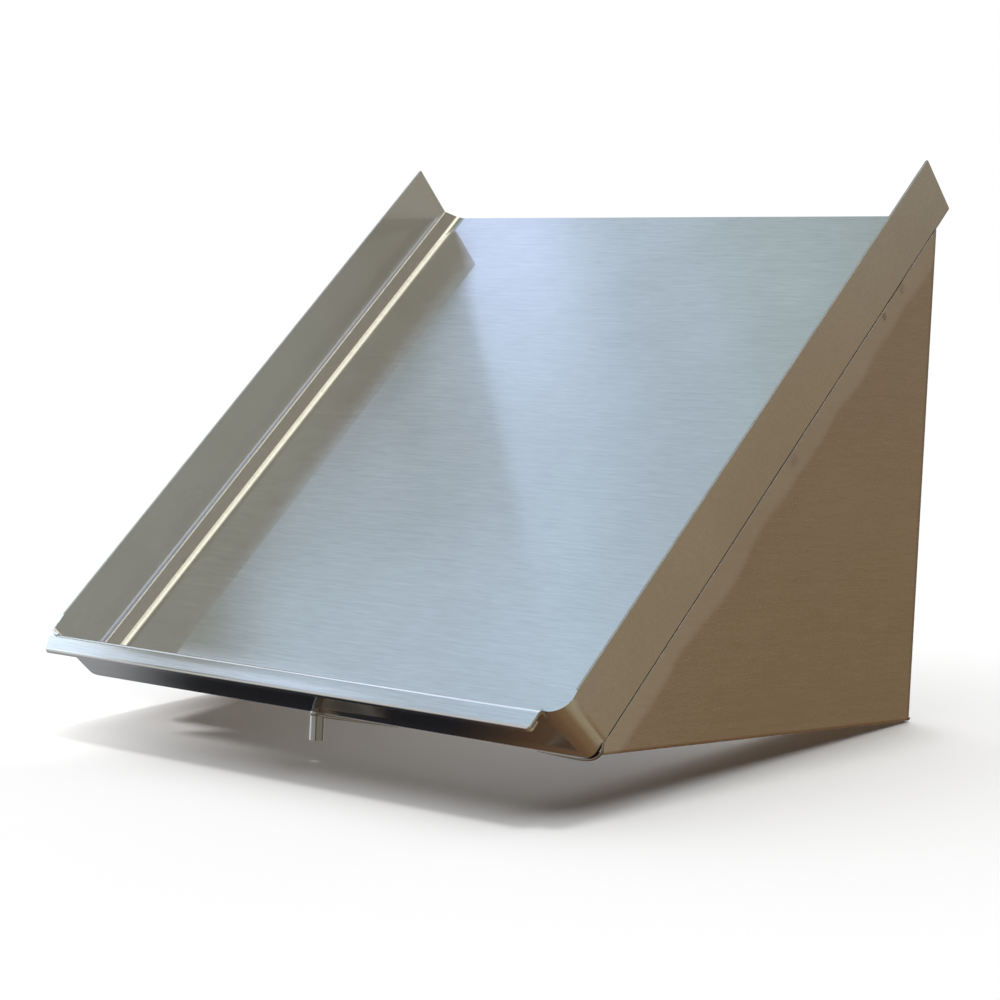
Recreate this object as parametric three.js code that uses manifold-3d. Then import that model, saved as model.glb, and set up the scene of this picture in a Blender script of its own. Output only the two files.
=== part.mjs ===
// Sloped stainless-steel slide tray on two folded brackets, with a drain stub.
// Millimetres, +Z up. x = 0 is the middle of the width, y = 0 is the rear face of
// the brackets (the face that goes against the wall) and z = 0 is their lower face.
import * as THREE from 'three';
import { mergeVertices } from 'three/addons/utils/BufferGeometryUtils.js';
import Module from 'manifold-3d';

const wasm = await Module();
wasm.setup();

// ---------------------------------------------------------------- dimensions
const SHEET = 2;                          // sheet thickness of every folded part
const GAP = 0.3;                          // clearance between neighbouring parts
const SLOPE = THREE.MathUtils.degToRad(45);

const TRAY_WIDTH = 530;                   // between the inner faces of the side walls
const TRAY_LENGTH = 558.5;                // inside, along the slope, at the floor
const SIDE_HEIGHT = 55.5;                 // side wall above the floor, square to it
const COVE_WIDTH = 14.3;                  // coved strip between floor and side wall
const COVE_HEIGHT = 7.9;
const COVE_FLOOR_RADIUS = 25;
const COVE_WALL_RADIUS = 1.5;
const CREASE_RADIUS = 2.5;                // inside bend between floor and front wall
const CORNER_RADIUS_LEFT = 6;             // inside radii of the upright front corners
const CORNER_RADIUS_RIGHT = 13;

const FRONT_HEIGHT = 54.6;                // top of the front wall above the floor
const FRONT_LEAN = THREE.MathUtils.degToRad(6);
const SIDE_DROP_START = 13;               // the side walls come down to the front
const SIDE_DROP_END = 3;                  // wall's height between these two places
const SIDE_DROP_RADIUS = 14;
const RIM_WIDTH = 18.3;                   // outward rim, parallel to the floor
const RIM_RADIUS = 5;
const RIM_LEFT = -255.7;                  // the rim stops short of both corners
const RIM_RIGHT = 246.8;
const RIM_FLARE_LEFT = -263;              // the left end is cut on the slant, widest
const RIM_RELIEF = 4;                     // next to a relief slot in front of the wall
const RIM_CORNER_RADIUS = 4;
const HEM_HEIGHT = 4.8;                   // the rim's edge is folded back under itself
const HEM_RADIUS = 2.39;
const HEM_LENGTH = 10;

const OVERHANG = 19.8;                    // floor's rear edge behind the brackets
const FLOOR_REAR_Z = 392.7;                 // height of the floor's rear edge
const BRACKET_DEPTH = 375;
const BRACKET_BEND_RADIUS = 1;
const BASE_FLANGE = 60;                   // inward flange along the lower edge
const WALL_FLANGE = 40;                   // inward flange along the rear edge
const FLANGE_CHAMFER = 12;
const FIXING_HOLE_RADIUS = 4.25;
const FIXING_HEIGHTS = [60, 310];
const FIXING_INSET = 22;                  // from the bracket's outer face

const STUB_X = -9;
const STUB_SLOPE_POS = 554.5;             // from the floor's rear edge, along the slope
const STUB_RADIUS = 5.3;
const STUB_BORE = 3.8;
const STUB_BOTTOM_Z = -24.4;
const STUB_TOP_Z = 40;

const ARC_STEPS = 10;                     // facets per bend
const ROUND_STEPS = 48;                   // facets per full circle
const FAR = 90;                           // overshoot of cutting tools
const LAP = 4;                            // overlap of solids that are joined
const MERGE = 1e-3;                       // edges shorter than this are collapsed

// ----------------------------------------------------------------- materials
const stainless = (color, roughness) =>
  new THREE.MeshStandardMaterial({ color, roughness, metalness: 1.0 });
const panSteel = stainless(0xb9c2cc, 0.34);
const bracketSteel = stainless(0xa39684, 0.4);
const stubSteel = stainless(0xc9ccd0, 0.25);

// ----------------------------------------------------------- outline helpers
// A corner is [a, b, radius]; ends carry no radius.
const at = ([a, b]) => new THREE.Vector2(a, b);

// The open path through the corners, each rounded to its radius.
function rounded(corners) {
  const out = [];
  corners.forEach((corner, i) => {
    const radius = corner[2] ?? 0;
    const here = at(corner);
    if (!radius || i === 0 || i === corners.length - 1) {
      out.push(here);
      return;
    }
    const back = at(corners[i - 1]).sub(here).normalize();
    const ahead = at(corners[i + 1]).sub(here).normalize();
    const half = Math.acos(THREE.MathUtils.clamp(back.dot(ahead), -1, 1)) / 2;
    const centre = back.clone().add(ahead).normalize()
      .multiplyScalar(radius / Math.sin(half)).add(here);
    const run = radius / Math.tan(half);
    const from = back.multiplyScalar(run).add(here).sub(centre);
    const to = ahead.multiplyScalar(run).add(here).sub(centre);
    const sweep = Math.atan2(from.cross(to), from.dot(to));
    for (let k = 0; k <= ARC_STEPS; k += 1) {
      out.push(from.clone().rotateAround(new THREE.Vector2(), (sweep * k) / ARC_STEPS)
        .add(centre));
    }
  });
  return out;
}

// The same corners moved by `distance` to the right of the direction of travel.
function offset(corners, distance) {
  const normals = corners.slice(1).map((corner, i) => {
    const run = at(corner).sub(at(corners[i])).normalize();
    return new THREE.Vector2(run.y, -run.x);
  });
  return corners.map((corner, i) => {
    const before = normals[Math.max(i - 1, 0)];
    const after = normals[Math.min(i, normals.length - 1)];
    const shift = before.clone().add(after)
      .multiplyScalar(distance / (1 + before.dot(after)));
    const turn = Math.sign(before.cross(after));
    const radius = corner[2] ? corner[2] + turn * distance : 0;
    return [corner[0] + shift.x, corner[1] + shift.y, radius];
  });
}

// A folded sheet's section: the path of one face and its offset by the thickness.
const sheetSection = (corners) =>
  [...rounded(corners), ...rounded(offset(corners, SHEET)).reverse()];

// ------------------------------------------------------------ solid helpers
function toSolid(geometry) {
  const plain = geometry.clone();
  plain.deleteAttribute('normal');
  plain.deleteAttribute('uv');
  const merged = mergeVertices(plain, 1e-4);
  return new wasm.Manifold(new wasm.Mesh({
    numProp: 3,
    vertProperties: new Float32Array(merged.attributes.position.array),
    triVerts: new Uint32Array(merged.index.array),
  }));
}

function toGeometry(solid) {
  const mesh = solid.simplify(MERGE).getMesh();
  const geometry = new THREE.BufferGeometry();
  geometry.setAttribute('position', new THREE.BufferAttribute(mesh.vertProperties, 3));
  geometry.setIndex(new THREE.BufferAttribute(mesh.triVerts, 1));
  geometry.computeVertexNormals();
  return geometry;
}

const extrude = (points, depth) => new THREE.ExtrudeGeometry(
  new THREE.Shape(points), { depth, bevelEnabled: false, steps: 1 });

// Outline in x-z, extruded from yStart towards -y.
const alongY = (points, yStart, depth) =>
  toSolid(extrude(points, depth).rotateX(Math.PI / 2).translate(0, yStart, 0));

// Outline in y-z, extruded from xStart towards +x.
function alongX(points, xStart, depth) {
  const turn = new THREE.Matrix4().makeBasis(
    new THREE.Vector3(0, 1, 0), new THREE.Vector3(0, 0, 1), new THREE.Vector3(1, 0, 0));
  return toSolid(extrude(points, depth).applyMatrix4(turn).translate(xStart, 0, 0));
}

// Outline in x-y, extruded up from zStart and leaning forwards with the front wall.
function leaning(points, zStart, depth) {
  const shear = new THREE.Matrix4().makeShear(0, 0, 0, 0, 0, -Math.tan(FRONT_LEAN));
  return toSolid(extrude(points, depth).translate(0, 0, zStart).applyMatrix4(shear));
}

// ------------------------------------------------- tray frame (local to slope)
// Local y = 0 is the floor's rear edge, -y runs down the slope, z is square to the
// floor. All three views of the tray are offset by the same distance.
const wallX = TRAY_WIDTH / 2;
const floorX = wallX - COVE_WIDTH;
const leanRun = (z) => z * Math.tan(FRONT_LEAN);

const sideView = [
  [-wallX, FAR], [-wallX, COVE_HEIGHT, COVE_WALL_RADIUS],
  [-floorX, 0, COVE_FLOOR_RADIUS], [floorX, 0, COVE_FLOOR_RADIUS],
  [wallX, COVE_HEIGHT, COVE_WALL_RADIUS], [wallX, FAR],
];
const lengthView = [
  [-TRAY_LENGTH - leanRun(FAR), FAR], [-TRAY_LENGTH, 0, CREASE_RADIUS], [FAR, 0],
];

// Everything inside the tray's surface moved outwards by `distance`.
function trayVolume(distance, rear) {
  const across = offset(sideView, distance);
  const along = offset(lengthView, distance);
  const halfWidth = wallX + distance;
  const front = -TRAY_LENGTH - distance / Math.cos(FRONT_LEAN);
  const plan = rounded([
    [-halfWidth, FAR], [-halfWidth, front, CORNER_RADIUS_LEFT + distance],
    [halfWidth, front, CORNER_RADIUS_RIGHT + distance], [halfWidth, FAR],
  ]);
  const depth = TRAY_LENGTH + 2 * FAR;
  return alongY(rounded(across), rear, depth + rear)
    .intersect(alongX([...rounded(along), new THREE.Vector2(FAR, FAR)], -wallX - FAR,
      2 * (wallX + FAR)))
    .intersect(leaning(plan, -FAR, 2 * FAR));
}

const inside = trayVolume(0, FAR / 2);

// Removes what stands above the side walls and the lower front wall.
const rimStart = -TRAY_LENGTH - leanRun(FRONT_HEIGHT);
const topCut = alongX([
  ...rounded([
    [FAR, SIDE_HEIGHT], [-TRAY_LENGTH + SIDE_DROP_START, SIDE_HEIGHT, SIDE_DROP_RADIUS],
    [-TRAY_LENGTH + SIDE_DROP_END, FRONT_HEIGHT, SIDE_DROP_RADIUS],
    [-TRAY_LENGTH - FAR, FRONT_HEIGHT],
  ]),
  new THREE.Vector2(-TRAY_LENGTH - FAR, 2 * FAR), new THREE.Vector2(FAR, 2 * FAR),
], -wallX - FAR, 2 * (wallX + FAR));

// The rim: the front wall's top folded outwards, its own edge hemmed underneath.
const foldStart = FRONT_HEIGHT - 2 * RIM_RADIUS;
const rimFront = rimStart - RIM_WIDTH;
const rimSection = sheetSection([
  [rimFront + HEM_LENGTH, FRONT_HEIGHT - HEM_HEIGHT],
  [rimFront, FRONT_HEIGHT - HEM_HEIGHT, HEM_RADIUS],
  [rimFront, FRONT_HEIGHT, HEM_RADIUS], [rimStart, FRONT_HEIGHT, RIM_RADIUS],
  [-TRAY_LENGTH - leanRun(foldStart - LAP), foldStart - LAP],
]);
const rimOutline = toSolid(extrude(rounded([
  [RIM_LEFT, 0], [RIM_LEFT, rimStart - RIM_RELIEF], [RIM_FLARE_LEFT, rimStart - RIM_RELIEF],
  [RIM_LEFT, rimFront], [RIM_RIGHT, rimFront, RIM_CORNER_RADIUS], [RIM_RIGHT, 0],
]), FAR));
const rim = alongX(rimSection, RIM_FLARE_LEFT, RIM_RIGHT - RIM_FLARE_LEFT)
  .intersect(rimOutline);
const rimSlot = toSolid(new THREE.BoxGeometry(RIM_RIGHT - RIM_LEFT, FAR, FAR)
  .translate((RIM_LEFT + RIM_RIGHT) / 2, -TRAY_LENGTH, foldStart + FAR / 2));

// World-vertical cylinder at the drain, in the tray's own frame.
const toWorld = new THREE.Matrix4().makeRotationX(SLOPE)
  .setPosition(0, OVERHANG, FLOOR_REAR_Z);
const toTray = toWorld.clone().invert();
const drainY = new THREE.Vector3(0, -STUB_SLOPE_POS, 0).applyMatrix4(toWorld).y;
const drainCylinder = (radius, low, high) => toSolid(
  new THREE.CylinderGeometry(radius, radius, high - low, ROUND_STEPS).rotateX(Math.PI / 2)
    .translate(STUB_X, drainY, (low + high) / 2).applyMatrix4(toTray));

const pan = trayVolume(SHEET, 0).subtract(inside).subtract(topCut)
  .subtract(rimSlot).add(rim)
  .subtract(drainCylinder(STUB_RADIUS + GAP, -FAR, STUB_TOP_Z));

// Drain stub: an upright tube, its top cut flush with the inside of the tray.
const stub = drainCylinder(STUB_RADIUS, STUB_BOTTOM_Z, STUB_TOP_Z)
  .subtract(drainCylinder(STUB_BORE, -FAR, FAR))
  .subtract(inside);

// ------------------------------------------------------------------ brackets
// Right-hand bracket in world coordinates: side plate, lower flange, rear flange.
const plateOuter = wallX + SHEET;
const seamHeight = FLOOR_REAR_Z - OVERHANG + COVE_HEIGHT / Math.cos(SLOPE);
const bracketSide = [
  [0, 0], [0, seamHeight], [-BRACKET_DEPTH, seamHeight - BRACKET_DEPTH],
  [-BRACKET_DEPTH, 0],
].map(at);
const bendOuter = BRACKET_BEND_RADIUS + SHEET;

function bracket() {
  const profile = alongX(bracketSide, 0, plateOuter);
  const reach = plateOuter - BASE_FLANGE;
  const lower = alongY(sheetSection([
    [reach, SHEET], [plateOuter - SHEET, SHEET, BRACKET_BEND_RADIUS],
    [plateOuter - SHEET, seamHeight],
  ]), 0, BRACKET_DEPTH);
  const rearPath = [
    [plateOuter - SHEET, -BRACKET_DEPTH], [plateOuter - SHEET, -SHEET, BRACKET_BEND_RADIUS],
    [plateOuter - WALL_FLANGE, -SHEET],
  ];
  const rearFlange = toSolid(extrude(sheetSection(rearPath), seamHeight));
  const flangeTop = seamHeight - WALL_FLANGE;
  const rearTrim = alongY([
    [reach - FAR, flangeTop - FLANGE_CHAMFER], [plateOuter - bendOuter, flangeTop],
    [plateOuter - bendOuter, seamHeight + FAR], [reach - FAR, seamHeight + FAR],
  ].map(at), FAR, FAR + bendOuter);
  const fixings = FIXING_HEIGHTS.map((z) => toSolid(new THREE.CylinderGeometry(
    FIXING_HOLE_RADIUS, FIXING_HOLE_RADIUS, 4 * SHEET, ROUND_STEPS)
    .translate(plateOuter - FIXING_INSET, 0, z)));
  const frontCut = toSolid(new THREE.BoxGeometry(FLANGE_CHAMFER, FLANGE_CHAMFER, FAR)
    .rotateZ(SLOPE).translate(reach, -BRACKET_DEPTH, 0));
  // The rounded outer edges: the plate stays only where both bends leave it.
  const plateBlock = toSolid(new THREE.BoxGeometry(SHEET, BRACKET_DEPTH - bendOuter,
    seamHeight - bendOuter).translate(plateOuter - SHEET / 2,
    -(BRACKET_DEPTH + bendOuter) / 2, (seamHeight + bendOuter) / 2));
  const aboveLowerBend = toSolid(new THREE.BoxGeometry(
    2 * FAR, 2 * bendOuter, 2 * seamHeight).translate(plateOuter, 0, seamHeight + bendOuter));
  const besideRearBend = toSolid(new THREE.BoxGeometry(
    4 * FAR, 3 * BRACKET_DEPTH, 2 * bendOuter).translate(plateOuter, 0, 0));
  const folded = lower.subtract(aboveLowerBend)
    .add(rearFlange.subtract(rearTrim).subtract(besideRearBend)).add(plateBlock);
  return fixings.reduce((body, hole) => body.subtract(hole),
    folded.intersect(profile).subtract(frontCut));
}

// ------------------------------------------------------------------ assembly
function piece(name, solid, material) {
  const mesh = new THREE.Mesh(toGeometry(solid), material);
  mesh.name = name;
  return mesh;
}

const slide = new THREE.Group();

const tray = new THREE.Group();
tray.position.set(0, OVERHANG, FLOOR_REAR_Z);
tray.rotation.x = SLOPE;
tray.add(piece('pan', pan, panSteel), piece('drain_stub', stub, stubSteel));
slide.add(tray);

const blank = bracket();
const trayClearance = trayVolume(SHEET + GAP, FAR / 2).transform(toWorld.toArray());
slide.add(
  piece('bracket_right', blank.subtract(trayClearance), bracketSteel),
  piece('bracket_left', blank.mirror([1, 0, 0]).subtract(trayClearance), bracketSteel),
);

export default slide;
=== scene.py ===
import math

import bmesh
import bpy
from mathutils import Matrix, Vector


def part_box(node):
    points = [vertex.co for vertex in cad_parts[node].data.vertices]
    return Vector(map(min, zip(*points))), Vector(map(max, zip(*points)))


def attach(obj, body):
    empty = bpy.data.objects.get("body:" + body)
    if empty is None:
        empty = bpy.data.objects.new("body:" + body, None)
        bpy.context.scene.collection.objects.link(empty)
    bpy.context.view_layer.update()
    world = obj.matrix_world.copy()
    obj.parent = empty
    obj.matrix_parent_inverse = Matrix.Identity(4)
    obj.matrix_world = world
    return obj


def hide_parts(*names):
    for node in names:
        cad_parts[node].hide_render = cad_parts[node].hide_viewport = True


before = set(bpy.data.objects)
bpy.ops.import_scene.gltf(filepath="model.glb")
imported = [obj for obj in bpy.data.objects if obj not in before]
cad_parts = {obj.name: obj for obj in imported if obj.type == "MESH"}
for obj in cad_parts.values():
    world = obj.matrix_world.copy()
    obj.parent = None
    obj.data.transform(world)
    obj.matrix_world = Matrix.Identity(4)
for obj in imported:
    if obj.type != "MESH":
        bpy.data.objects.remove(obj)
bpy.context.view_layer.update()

# The frame's axes: x to the tray's right, -y to its front, z up. Everything is in metres.
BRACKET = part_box("bracket_right")
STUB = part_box("drain_stub")
RIGHT_X = BRACKET[1][0]
LEFT_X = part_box("bracket_left")[0][0]
FRONT_Y = BRACKET[0][1]
SLOPE = math.radians(45)
DOWN_SLOPE = (0.0, -math.cos(SLOPE), -math.sin(SLOPE))
OFF_SLOPE = Vector((0, -math.sin(SLOPE), math.cos(SLOPE)))
# z - y along the seam between bracket and tray.
SEAM_SUM = max(v.co.z - v.co.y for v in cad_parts["bracket_right"].data.vertices)
WALL_TOP = max(OFF_SLOPE.dot(v.co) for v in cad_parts["pan"].data.vertices)


# ------------------------------------------------------------------ camera
SENSOR = 36.0
LENS_TO_SENSOR = 2.66462
CAMERA_PLACE = Vector((1.386713, -1.758384, 0.246652))
CAMERA_FORWARD = Vector((-0.6619, 0.7483, -0.0441))
CAMERA_RIGHT = Vector((0.7474, 0.6625, 0.0497))


def add_object(name, data):
    obj = bpy.data.objects.new(name, data)
    bpy.context.scene.collection.objects.link(obj)
    return obj


def make_camera():
    data = bpy.data.cameras.new("camera")
    data.sensor_width = SENSOR
    data.lens = SENSOR * LENS_TO_SENSOR
    data.clip_start, data.clip_end = 0.05, 50.0
    cam = add_object("camera", data)
    forward = CAMERA_FORWARD.normalized()
    right = CAMERA_RIGHT.normalized()
    right = (right - forward * right.dot(forward)).normalized()
    basis = Matrix((right, right.cross(forward), -forward)).transposed().to_4x4()
    basis.translation = CAMERA_PLACE
    cam.matrix_world = basis
    bpy.context.scene.camera = cam


# --------------------------------------------------------------- node tools
class Nodes:
    """Short calls for building a node tree."""

    def __init__(self, owner):
        owner.use_nodes = True
        self.tree = owner.node_tree
        self.tree.nodes.clear()

    def add(self, kind, **values):
        node = self.tree.nodes.new(kind)
        for key, value in values.items():
            setattr(node, key, value)
        return node

    def put(self, socket, value):
        """Link value to the socket if it comes from a node, else set it there."""
        if isinstance(value, bpy.types.NodeSocket):
            self.tree.links.new(value, socket)
        else:
            socket.default_value = value

    def fill(self, node, values):
        for key, value in values.items():
            self.put(node.inputs[key], value)
        return node

    def math(self, op, a, b):
        return self.fill(self.add("ShaderNodeMath", operation=op), {0: a, 1: b}).outputs[0]

    def times(self, *factors):
        product = factors[0]
        for factor in factors[1:]:
            product = self.math("MULTIPLY", product, factor)
        return product

    def plus(self, a, b):
        return self.math("ADD", a, b)

    def minus(self, a, b):
        return self.math("SUBTRACT", a, b)

    def span(self, value, a, b, to_a=0.0, to_b=1.0, smooth=True):
        """value from a to b, eased to go from to_a to to_b and held beyond them."""
        easing = "SMOOTHSTEP" if smooth else "LINEAR"
        node = self.add("ShaderNodeMapRange", interpolation_type=easing)
        return self.fill(node, dict(enumerate((value, a, b, to_a, to_b)))).outputs[0]

    def band(self, value, a, b, c, d):
        """0 up to a, 1 from b to c, 0 again from d."""
        return self.times(self.span(value, a, b), self.span(value, c, d, 1.0, 0.0))

    def mix(self, factor, a, b):
        node = self.add("ShaderNodeMix", data_type="RGBA", blend_type="MIX")
        return self.fill(node, {0: factor, 6: a, 7: b}).outputs[2]

    def ramp(self, value, first, steps):
        """Colour first, changed in each step (start, end, colour) between start and end."""
        colour = first
        for start, end, following in steps:
            colour = self.mix(self.span(value, start, end), colour, following)
        return colour

    def noise(self, vector, scale, detail=2.0, rough=0.5):
        node = self.add("ShaderNodeTexNoise")
        values = {"Vector": vector, "Scale": scale, "Detail": detail, "Roughness": rough}
        return self.fill(node, values).outputs["Fac"]

    def coords(self, kind):
        return self.add("ShaderNodeTexCoord").outputs[kind]

    def split(self, vector):
        return self.fill(self.add("ShaderNodeSeparateXYZ"), {0: vector}).outputs

    def mapped(self, vector, **values):
        node = self.add("ShaderNodeMapping", vector_type="POINT")
        return self.fill(node, {"Vector": vector, **values}).outputs["Vector"]

    def scaled(self, vector, factor):
        node = self.add("ShaderNodeVectorMath", operation="SCALE")
        return self.fill(node, {0: vector, "Scale": factor}).outputs[0]

    def bump(self, height, strength):
        values = {"Strength": strength, "Distance": 0.0002, "Height": height}
        return self.fill(self.add("ShaderNodeBump"), values).outputs[0]

    def shader(self, kind, **values):
        """Input names are written with _ for a space."""
        values = {key.replace("_", " "): value for key, value in values.items()}
        return self.fill(self.add(kind), values).outputs[0]

    def mix_shader(self, factor, a, b):
        return self.fill(self.add("ShaderNodeMixShader"), {0: factor, 1: a, 2: b}).outputs[0]

    def finish(self, shader, kind="ShaderNodeOutputMaterial"):
        self.fill(self.add(kind), {"Surface": shader})


def rgb(*values):
    return (*values, 1.0)


def grey(value):
    return rgb(value, value, value)


# ---------------------------------------------------------------- materials
def dull_spot(n, coords, centre, radius, strength):
    """strength in the middle of a spot with a ragged edge, 0 outside it."""
    gap = n.add("ShaderNodeVectorMath", operation="DISTANCE")
    n.fill(gap, {0: coords, 1: centre})
    ragged = n.span(n.noise(coords, 400.0), 0.3, 0.7, -0.3 * radius, 0.3 * radius)
    return n.span(n.plus(gap.outputs["Value"], ragged), 0.3 * radius, radius, strength, 0.0)


def brushed(name, base, tint, rotation, across, rough=0.18, streaky=0.78, clear=0.0,
            contrast=0.06, dressing_and_shade=None, marks=()):
    """Brushed stainless steel.

    base and tint are its two slightly different colours.
    rotation turns object space so that x runs along the grain; across is square to the grain.
    streaky is the share of light that the grain scatters, clear the share that is mirrored.
    contrast is the strength of the grain's lines.
    The dressing function gives, from (n, coords), a mask: 0 to 1 where the steel is hand-dressed
    and lighter, below 0 where it is darkened as painted shade.
    marks are small dull spots: (centre, radius, strength).
    """
    mat = bpy.data.materials.new(name)
    n = Nodes(mat)
    coords = n.coords("Object")
    local = n.mapped(coords, Rotation=rotation)
    fine = n.noise(n.mapped(local, Scale=(50.0, 850.0, 850.0)), 1.0, 2.0, 0.6)
    coarse = n.noise(n.mapped(local, Scale=(16.0, 380.0, 380.0)), 1.0, 1.0, 0.5)
    grain = n.plus(n.times(fine, 0.7), n.times(coarse, 0.3))
    lines = n.span(grain, 0.32, 0.68, -1.0, 1.0, smooth=False)
    cloud = n.noise(local, 6.0, 3.0, 0.55)
    patch = n.noise(local, 17.0, 2.0, 0.5)

    shade = n.times(n.plus(1.0, n.times(lines, contrast)),
                    n.span(cloud, 0.3, 0.7, 0.955, 1.035),
                    n.span(patch, 0.3, 0.7, 0.985, 1.015))
    colour = n.mix(n.span(cloud, 0.35, 0.65), base, tint)
    roughness = n.plus(n.plus(rough, n.times(lines, 0.03)),
                       n.span(cloud, 0.3, 0.7, -0.02, 0.03))
    # A mask above 0 lightens the steel as dressing; below 0 it only darkens it, as painted shade.
    if dressing_and_shade:
        mask = dressing_and_shade(n, coords)
        shade = n.times(shade, n.plus(1.0, n.times(mask, 0.22)))
        colour = n.mix(n.math("MAXIMUM", mask, 0.0), colour, grey(sum(base[:3]) / 3))
        roughness = n.plus(roughness, n.times(mask, 0.1))
    for centre, radius, strength in marks:
        spot = dull_spot(n, coords, centre, radius, strength)
        shade = n.times(shade, n.minus(1.0, spot))
        roughness = n.plus(roughness, n.times(spot, 0.3))
    colour = n.scaled(colour, shade)
    tangent = n.fill(n.add("ShaderNodeCombineXYZ"), dict(enumerate(across))).outputs[0]

    body = n.shader("ShaderNodeBsdfPrincipled", Base_Color=colour, Roughness=roughness,
                    Metallic=1.0, Anisotropic=0.9, Tangent=tangent, Normal=n.bump(grain, 0.08))
    # Brushing scatters light almost only across the grain.
    streak = n.shader("ShaderNodeBsdfAnisotropic", Color=colour, Roughness=0.15,
                      Anisotropy=-0.82, Tangent=tangent)
    # The flat tops between the grooves still mirror clearly.
    tops = n.shader("ShaderNodeBsdfAnisotropic", Color=colour, Roughness=0.045)
    n.finish(n.mix_shader(clear, n.mix_shader(streaky, body, streak), tops))
    return mat


def ground(name, base, rough):
    """Sheared edges, dressed welds: fine-grained, without a direction."""
    mat = bpy.data.materials.new(name)
    n = Nodes(mat)
    coords = n.coords("Object")
    grit = n.noise(coords, 900.0, 3.0, 0.6)
    wave = n.noise(coords, 60.0, 2.0, 0.5)
    shade = n.times(n.span(grit, 0.3, 0.7, 0.88, 1.08), n.span(wave, 0.3, 0.7, 0.9, 1.05))
    n.finish(n.shader("ShaderNodeBsdfPrincipled", Base_Color=n.scaled(base, shade),
                      Roughness=n.span(grit, 0.3, 0.7, rough - 0.05, rough + 0.06),
                      Metallic=1.0, Normal=n.bump(grit, 0.25)))
    return mat


def seam_dressing_and_rear_shade(n, coords):
    """1 next to the seam with the tray's wall, fading out 15 to 23 mm below it. Within 7 mm of
    the rear edge it drops below 0: painted shade along the rear bend.
    """
    _, y, z = n.split(coords)
    wobble = n.span(n.noise(coords, 11.0, 2.0), 0.3, 0.7, -0.004, 0.004)
    away = n.plus(n.times(n.minus(SEAM_SUM, n.minus(z, y)), math.cos(SLOPE)), wobble)
    # Painted shade along the rear bend: the steel darkens within 7 mm of the rear edge.
    rear_bend_shade = n.span(y, -0.007, -0.001, 0.0, 1.6)
    return n.minus(n.span(away, 0.015, 0.023, 1.0, 0.0), rear_bend_shade)


QUARTER_TURN = math.radians(90)
# A darker, rougher spot in the left cove, where its bright streak breaks.
COVE_DARK_SPOT = ((-0.2525, -0.2930, 0.0905), 0.006, 0.5)
SEAM_MARKS = (((RIGHT_X, -0.0676, 0.3099), 0.004, 0.35),
              ((RIGHT_X, -0.0453, 0.3323), 0.005, 0.2),
              ((RIGHT_X, -0.1737, 0.1996), 0.007, 0.15))

PAN_STEEL = brushed("pan_steel", rgb(0.72, 0.735, 0.75), rgb(0.69, 0.71, 0.73),
                    rotation=(-SLOPE, 0, 0), across=DOWN_SLOPE, clear=0.38,
                    marks=(COVE_DARK_SPOT,))
BRACKET_STEEL = brushed("bracket_steel", rgb(0.60, 0.57, 0.54), rgb(0.57, 0.54, 0.51),
                        rotation=(0, 0, QUARTER_TURN), across=(0, 0, 1), rough=0.26,
                        streaky=0.4, contrast=0.05, dressing_and_shade=seam_dressing_and_rear_shade, marks=SEAM_MARKS)
# The tube's steel is much darker than the tray's: painted shade for its place under the tray.
SHADED_STUB_STEEL = brushed("stub_steel", rgb(0.34, 0.34, 0.35), rgb(0.30, 0.31, 0.32),
                     rotation=(0, QUARTER_TURN, 0), across=(0, 0, 1), rough=0.12,
                     streaky=0.5, clear=0.3, contrast=0.03)
EDGE = ground("sheared_edge", (0.48, 0.48, 0.46), 0.42)
WELD = ground("dressed_weld", (0.36, 0.32, 0.26), 0.38)
# Near-black steel for rods that paint the shade in narrow gaps.
GAP_SHADE_STEEL = ground("painted_gap_shade", (0.035, 0.022, 0.014), 0.5)


# ------------------------------------------------------------------- sheets
def mesh_from(bm, name):
    mesh = bpy.data.meshes.new(name)
    bm.to_mesh(mesh)
    bm.free()
    for poly in mesh.polygons:
        poly.use_smooth = True
    return mesh


def sheet_copy(node, name, mats, bevel=0.0003):
    """A finished copy of a CAD sheet: coplanar facets joined, edges eased, normals weighted."""
    bm = bmesh.new()
    bm.from_mesh(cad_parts[node].data)
    bmesh.ops.remove_doubles(bm, verts=bm.verts, dist=1e-6)
    bmesh.ops.dissolve_limit(bm, angle_limit=math.radians(0.4), verts=bm.verts,
                             edges=bm.edges, delimit={"NORMAL"})
    obj = add_object(name, mesh_from(bm, name))
    for mat in mats:
        obj.data.materials.append(mat)
    ease = obj.modifiers.new("ease", "BEVEL")
    ease.width = bevel
    ease.segments = 2
    ease.limit_method = "ANGLE"
    ease.angle_limit = math.radians(30)
    ease.harden_normals = False
    weighted = obj.modifiers.new("normals", "WEIGHTED_NORMAL")
    weighted.keep_sharp = True
    weighted.weight = 80
    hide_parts(node)
    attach(obj, "root")
    return obj


def make_sheets():
    pan = sheet_copy("pan", "tray_pan", (PAN_STEEL, EDGE))
    for poly in pan.data.polygons:
        on_top = OFF_SLOPE.dot(poly.center) > WALL_TOP - 0.0002
        poly.material_index = int(on_top and poly.normal.dot(OFF_SLOPE) > 0.99)
    for side in ("left", "right"):
        sheet_copy(f"bracket_{side}", f"side_bracket_{side}", (BRACKET_STEEL,))
    sheet_copy("drain_stub", "drain_tube", (SHADED_STUB_STEEL,), bevel=0.0002)


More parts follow.
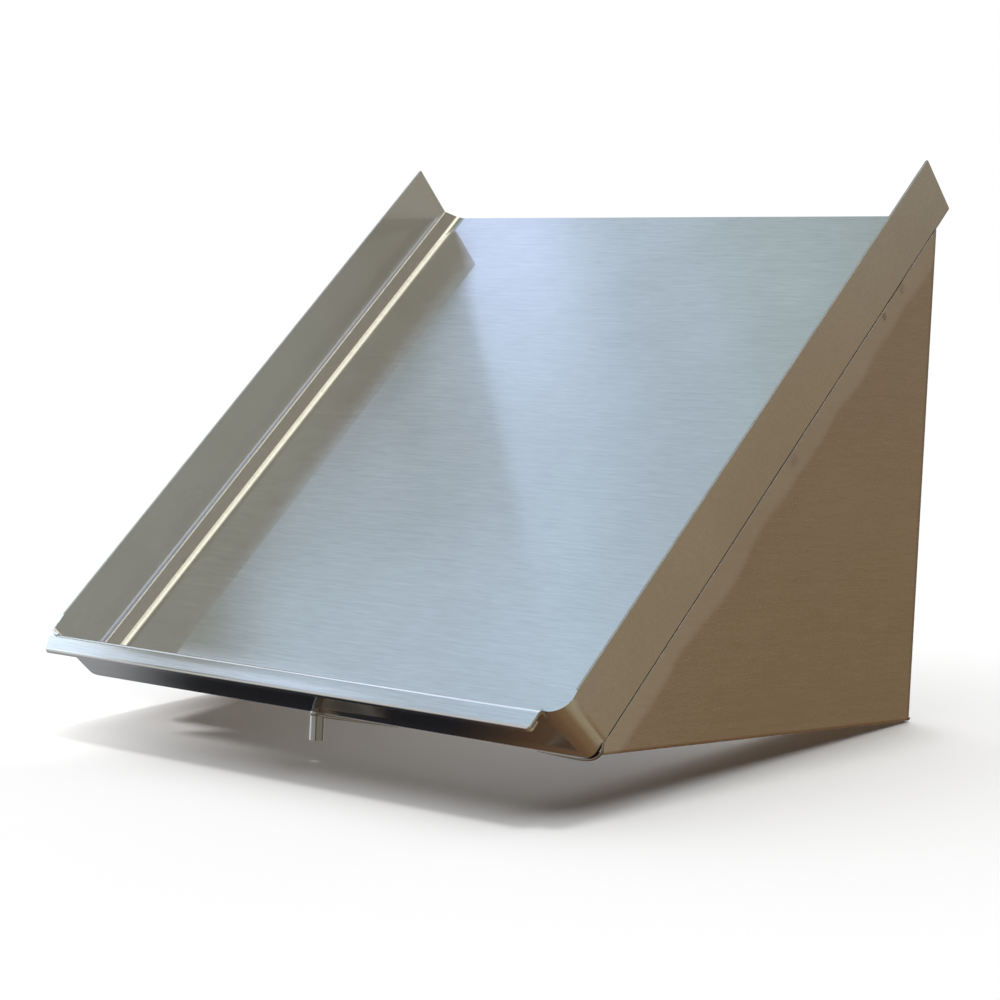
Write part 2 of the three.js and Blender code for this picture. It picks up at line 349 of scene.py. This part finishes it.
# ---------------------------------------------------------- welds, and painted shade in the seams
def bead(name, points, radii, mat, slot, sides=14, closed=False):
    """A smooth rod through the points, its radius given at each of them."""
    pts = [Vector(p) for p in points]
    count = len(pts)
    bm = bmesh.new()
    rings = []
    for i, p in enumerate(pts):
        before = pts[(i - 1) % count] if closed or i else p
        after = pts[(i + 1) % count] if closed or i < count - 1 else p
        along = (after - before).normalized()
        side = along.cross(Vector((0, 1, 0.3))).normalized()
        up = side.cross(along)
        rings.append([bm.verts.new(p + radii[i] * (math.cos(a) * side + math.sin(a) * up))
                      for a in (2 * math.pi * k / sides for k in range(sides))])
    for i in range(count if closed else count - 1):
        a, b = rings[i], rings[(i + 1) % count]
        for k in range(sides):
            m = (k + 1) % sides
            bm.faces.new((a[k], a[m], b[m], b[k]))
    if not closed:
        bm.faces.new(list(reversed(rings[0])))
        bm.faces.new(rings[-1])
    bmesh.ops.recalc_face_normals(bm, faces=bm.faces)
    obj = add_object(name, mesh_from(bm, name))
    obj.data.materials.append(mat)
    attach(obj, "root")


def curved(stations, steps=5):
    """Catmull-Rom through stations of (x, y, z, radius). Returns points and radii."""
    last = len(stations) - 1
    out = []
    for i in range(last):
        around = [stations[max(0, min(i + k, last))] for k in (-1, 0, 1, 2)]
        for t in (k / steps for k in range(steps)):
            out.append(tuple(
                0.5 * (2 * b + (c - a) * t + (2 * a - 5 * b + 4 * c - d) * t * t
                       + (3 * b - a - 3 * c + d) * t ** 3)
                for a, b, c, d in zip(*around)))
    out.append(stations[last])
    return [s[:3] for s in out], [s[3] for s in out]


def in_front(stations, from_x):
    """Stations of (x from from_x, distance before the front face, z, radius)."""
    return curved([(from_x + x, FRONT_Y - out, z, r) for x, out, z, r in stations])


def make_corner():
    """The right front corner: a dressed lip closes the joint under it, which is open inside the
    lip; a near-black rod there paints the gap's shade.
    """
    lip = in_front(((-0.0006, 0.0006, 0.0092, 0.0004), (-0.0006, 0.0008, 0.0050, 0.0009),
                    (-0.0020, 0.0008, 0.0010, 0.0010), (-0.0060, 0.0008, -0.0022, 0.0010),
                    (-0.0120, 0.0008, -0.0041, 0.0009), (-0.0220, 0.0008, -0.0050, 0.0007),
                    (-0.0370, 0.0006, -0.0049, 0.0005), (-0.0590, 0.0004, -0.0043, 0.0002)),
                   RIGHT_X)
    bead("corner_lip", *lip, WELD, "bracket_steel")
    gap = in_front(((-0.0018, 0.0008, 0.0085, 0.0004), (-0.0026, 0.0010, 0.0048, 0.0007),
                    (-0.0058, 0.0012, 0.0000, 0.0010), (-0.0110, 0.0012, -0.0022, 0.0009),
                    (-0.0170, 0.0010, -0.0032, 0.0002)), RIGHT_X)
    # Painted shade: a near-black rod in the open gap.
    bead("corner_gap_shade", *gap, GAP_SHADE_STEEL, "bracket_steel")


def make_seams():
    """A near-black rod in the joint between tray and brackets: painted shade in the narrow gap.
    """
    for name, x in (("seam_shade_right", RIGHT_X), ("seam_shade_left", LEFT_X)):
        line = [(x, y, y + SEAM_SUM + 0.0002) for y in (FRONT_Y + 0.004, FRONT_Y / 2, -0.003)]
        bead(name, line, [0.0002, 0.0003, 0.0002], GAP_SHADE_STEEL, "bracket_steel", sides=8)


def make_drain_welds():
    """A ring round the drain tube, and a run along the tray's lower edge to its right."""
    x = (STUB[0][0] + STUB[1][0]) / 2
    y = (STUB[0][1] + STUB[1][1]) / 2
    radius = (STUB[1][0] - STUB[0][0]) / 2
    run = in_front(((0.004, 0.0003, -0.0048, 0.0008), (0.014, 0.0003, -0.0052, 0.0012),
                    (0.045, 0.0003, -0.0048, 0.0008), (0.085, 0.0003, -0.0042, 0.0002)), x)
    bead("drain_weld_run", *run, WELD, "pan_steel")
    steps = 40
    ring = [(x + radius * math.cos(a), y + radius * math.sin(a),
             -0.0052 + 0.0045 * max(0.0, math.sin(a)))
            for a in (2 * math.pi * k / steps for k in range(steps))]
    ripple = [0.0007 + 0.0001 * math.sin(5 * k) for k in range(steps)]
    bead("drain_weld", ring, ripple, WELD, "stub_steel", closed=True)


# ------------------------------------------------------------------- stage
FLOOR_TILT = math.radians(6)
FLOOR_DROP = 0.0005
FLOOR_REACH = 6.0


def make_floor():
    """The object rests on the brackets' rear corners and tips forwards a little."""
    r = FLOOR_REACH
    mesh = bpy.data.meshes.new("floor")
    mesh.from_pydata([(x, y, y * math.tan(FLOOR_TILT) - FLOOR_DROP)
                      for x, y in ((-r, -r), (r, -r), (r, r), (-r, r))], [], [(0, 1, 2, 3)])
    floor = add_object("floor", mesh)
    mat = bpy.data.materials.new("floor")
    n = Nodes(mat)
    n.finish(n.shader("ShaderNodeBsdfDiffuse", Color=grey(0.9)))
    mesh.materials.append(mat)
    floor.visible_glossy = False


def make_lights():
    """A narrow sun draws the shadow, a broad one softens it, and a spot lifts its left end."""
    for name, power, size, source in (("key", 0.90, 11.0, (-0.07, 0.09, 1)),
                                      ("fill", 2.9, 112.0, (-0.34, 0.26, 1))):
        sun = bpy.data.lights.new(name, "SUN")
        sun.energy = power
        sun.angle = math.radians(size)
        light = add_object(name, sun)
        light.rotation_euler = Vector(source).to_track_quat("Z", "Y").to_euler()
        light.visible_glossy = False
    spot = bpy.data.lights.new("kicker", "SPOT")
    spot.energy = 20.0
    spot.spot_size = math.radians(20)
    spot.spot_blend = 1.0
    spot.shadow_soft_size = 0.05
    light = add_object("kicker", spot)
    light.location = (-0.75, -0.75, 0.30)
    aim = Vector((-0.25, -0.40, -0.043)) - light.location
    light.rotation_euler = aim.to_track_quat("-Z", "Y").to_euler()
    light.visible_glossy = False


# -------------------------------------------------- what the steel mirrors
# x, y and z below are the mirrored ray's direction.
def sky_over_tray(n, x, y):
    """From left to right: bright window, dim wall, pale pane with a sharp left edge, fall-off."""
    # The windows' edges slant across the tray's floor.
    level = n.math("MAXIMUM", n.math("MINIMUM", y, 0.2), -0.1)
    slant = n.plus(x, n.times(level, 0.22))
    colour = n.ramp(slant, rgb(1.38, 1.56, 1.66), (
        (-0.79, -0.77, rgb(0.28, 0.28, 0.21)),
        (-0.745, -0.715, rgb(0.40, 0.43, 0.44)),
        (-0.705, -0.690, rgb(0.32, 0.35, 0.31)),
        (-0.669, -0.665, rgb(0.60, 0.73, 0.84)),
        (-0.658, -0.620, rgb(0.51, 0.61, 0.69)),
        (-0.605, -0.575, rgb(0.42, 0.50, 0.49)),
        (-0.560, -0.530, rgb(0.33, 0.39, 0.36)),
        (-0.48, -0.44, rgb(0.28, 0.25, 0.19)),
    ))
    lower_pane = n.times(n.span(y, -0.10, -0.02, 1.0, 0.0),
                         n.band(slant, -0.762, -0.733, -0.669, -0.662))
    colour = n.mix(lower_pane, colour, rgb(0.58, 0.69, 0.78))
    upper_pane = n.times(n.span(y, -0.04, 0.07),
                         n.band(slant, -0.669, -0.665, -0.650, -0.615))
    colour = n.mix(upper_pane, colour, rgb(0.98, 1.14, 1.55))
    # The bend between floor and cove draws this lamp out into a dim line.
    lamp = n.times(n.band(y, -0.50, -0.38, -0.12, 0.02), n.band(x, -0.34, -0.26, -0.18, -0.08))
    colour = n.mix(lamp, colour, rgb(1.9, 1.75, 1.4))
    # Only the front rim mirrors this strip.
    strip = n.times(n.band(n.plus(y, n.times(x, 0.195)), -0.2660, -0.2630, -0.2520, -0.2490),
                    n.band(x, -0.80, -0.77, -0.715, -0.675))
    colour = n.mix(strip, colour, rgb(1.15, 1.30, 1.55))
    rear_glow = n.times(n.span(y, 0.12, 0.26, 0.0, 0.8), n.span(x, -0.45, -0.3, 1.0, 0.0))
    colour = n.mix(rear_glow, colour, rgb(1.4, 1.5, 1.65))
    return n.mix(n.span(y, -0.65, -0.42, 1.0, 0.0), colour, rgb(0.72, 0.68, 0.64))


def room_to_right(n, x, z):
    """A warm dim room, greyer further round to the right."""
    colour = n.mix(n.span(x, 0.62, 0.69), rgb(0.29, 0.20, 0.11), rgb(0.33, 0.30, 0.25))
    colour = n.mix(n.span(z, 0.0, 0.12), colour, rgb(0.34, 0.29, 0.22))
    return n.mix(n.span(x, 0.70, 0.72), colour, rgb(0.445, 0.43, 0.35))


def ground_below(n, x):
    """From left to right: a pale patch, nearly black under the object, then brown floor."""
    return n.ramp(x, rgb(0.40, 0.40, 0.40), (
        (-0.765, -0.735, rgb(0.017, 0.017, 0.020)),
        (-0.670, -0.628, rgb(0.16, 0.088, 0.044)),
        (-0.45, 0.35, rgb(0.22, 0.13, 0.065)),
        (0.45, 0.75, rgb(0.37, 0.30, 0.19)),
    ))


def surroundings(n):
    x, y, z = n.split(n.coords("Generated"))
    colour = n.mix(n.span(x, 0.32, 0.42), sky_over_tray(n, x, y), room_to_right(n, x, z))
    # The bends on either side of the left cove mirror these as bright lines.
    high_window = n.times(n.span(z, 0.45, 0.60), n.band(x, 0.18, 0.26, 0.42, 0.48))
    colour = n.mix(high_window, colour, rgb(2.4, 2.25, 1.75))
    far_window = n.times(n.span(x, 0.80, 0.84), n.band(z, 0.22, 0.30, 0.46, 0.54))
    colour = n.mix(far_window, colour, rgb(1.0, 0.94, 0.94))
    return n.mix(n.span(z, -0.45, -0.12), ground_below(n, x), colour)


def make_world():
    """Steel mirrors the surroundings; the camera sees white, and the rest a faint even light."""
    world = bpy.data.worlds.new("studio")
    bpy.context.scene.world = world
    n = Nodes(world)
    ray = n.add("ShaderNodeLightPath").outputs
    mirrored = n.shader("ShaderNodeBackground", Color=surroundings(n), Strength=1.0)
    even = n.shader("ShaderNodeBackground", Color=grey(1.0), Strength=0.03)
    seen = n.shader("ShaderNodeBackground", Color=grey(1.0), Strength=1.0)
    lit = n.mix_shader(ray["Is Glossy Ray"], even, mirrored)
    n.finish(n.mix_shader(ray["Is Camera Ray"], lit, seen), "ShaderNodeOutputWorld")


make_camera()
make_sheets()
make_corner()
make_seams()
make_drain_welds()
make_floor()
make_lights()
make_world()
view = bpy.context.scene.view_settings
view.view_transform = "Standard"
view.look = "None"
view.exposure = 0.0
